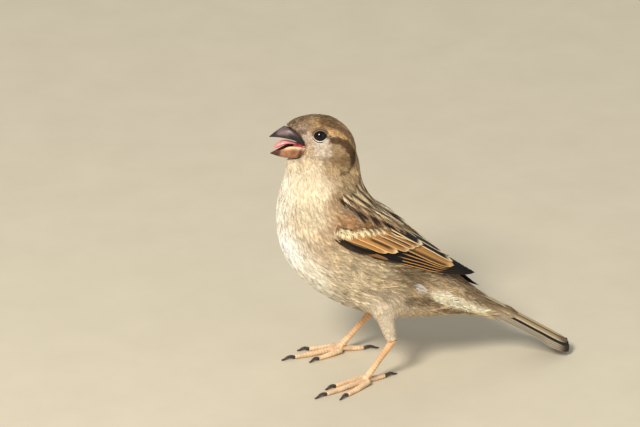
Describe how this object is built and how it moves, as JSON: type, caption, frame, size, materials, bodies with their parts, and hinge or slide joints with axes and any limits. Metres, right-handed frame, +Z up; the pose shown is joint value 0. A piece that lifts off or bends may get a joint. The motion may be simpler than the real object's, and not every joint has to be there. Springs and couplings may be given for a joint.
{
  "type": "house sparrow",
  "caption": "Life-size female house sparrow standing on the floor with head up and bill open, as a still museum-style model.",
  "frame": {"origin": "on the floor under the centre of the bird's bounding box", "axes": "+Z up from the floor; the bill points along -X and the tail along +X; the bird's right side is at +Y"},
  "size_m": [0.118, 0.05, 0.1076],
  "materials": {
    "plumage": "soft overlapping feathers",
    "wing": "flat wing feathers with pale edges",
    "tail": "flat tail feathers",
    "bill_horn": "smooth dark horn",
    "bill_pale": "smooth pale horn",
    "tongue": "moist",
    "eye": "wet and polished",
    "scaled_skin": "fine scutes",
    "claw": "smooth horn"
  },
  "bodies": {
    "root": {"bill_lower": "bill_pale", "bill_upper": "bill_horn", "claw_hallux_left": "claw", "claw_hallux_right": "claw", "claw_inner_left": "claw", "claw_inner_right": "claw", "claw_middle_left": "claw", "claw_middle_right": "claw", "claw_outer_left": "claw", "claw_outer_right": "claw", "eye_left": "eye", "eye_right": "eye", "foot_left": "scaled_skin", "foot_right": "scaled_skin", "head": "plumage", "neck": "plumage", "rump": "plumage", "tail": "tail", "tarsus_left": "scaled_skin", "tarsus_right": "scaled_skin", "tibia_left": "plumage", "tibia_right": "plumage", "toe_hallux_left": "scaled_skin", "toe_hallux_right": "scaled_skin", "toe_inner_left": "scaled_skin", "toe_inner_right": "scaled_skin", "toe_middle_left": "scaled_skin", "toe_middle_right": "scaled_skin", "toe_outer_left": "scaled_skin", "toe_outer_right": "scaled_skin", "tongue": "tongue", "trunk": "plumage", "wing_coverts_left": "wing", "wing_coverts_right": "wing", "wing_flight_left": "wing", "wing_flight_right": "wing", "wing_tip_left": "wing", "wing_tip_right": "wing"}
  },
  "joints": []
}
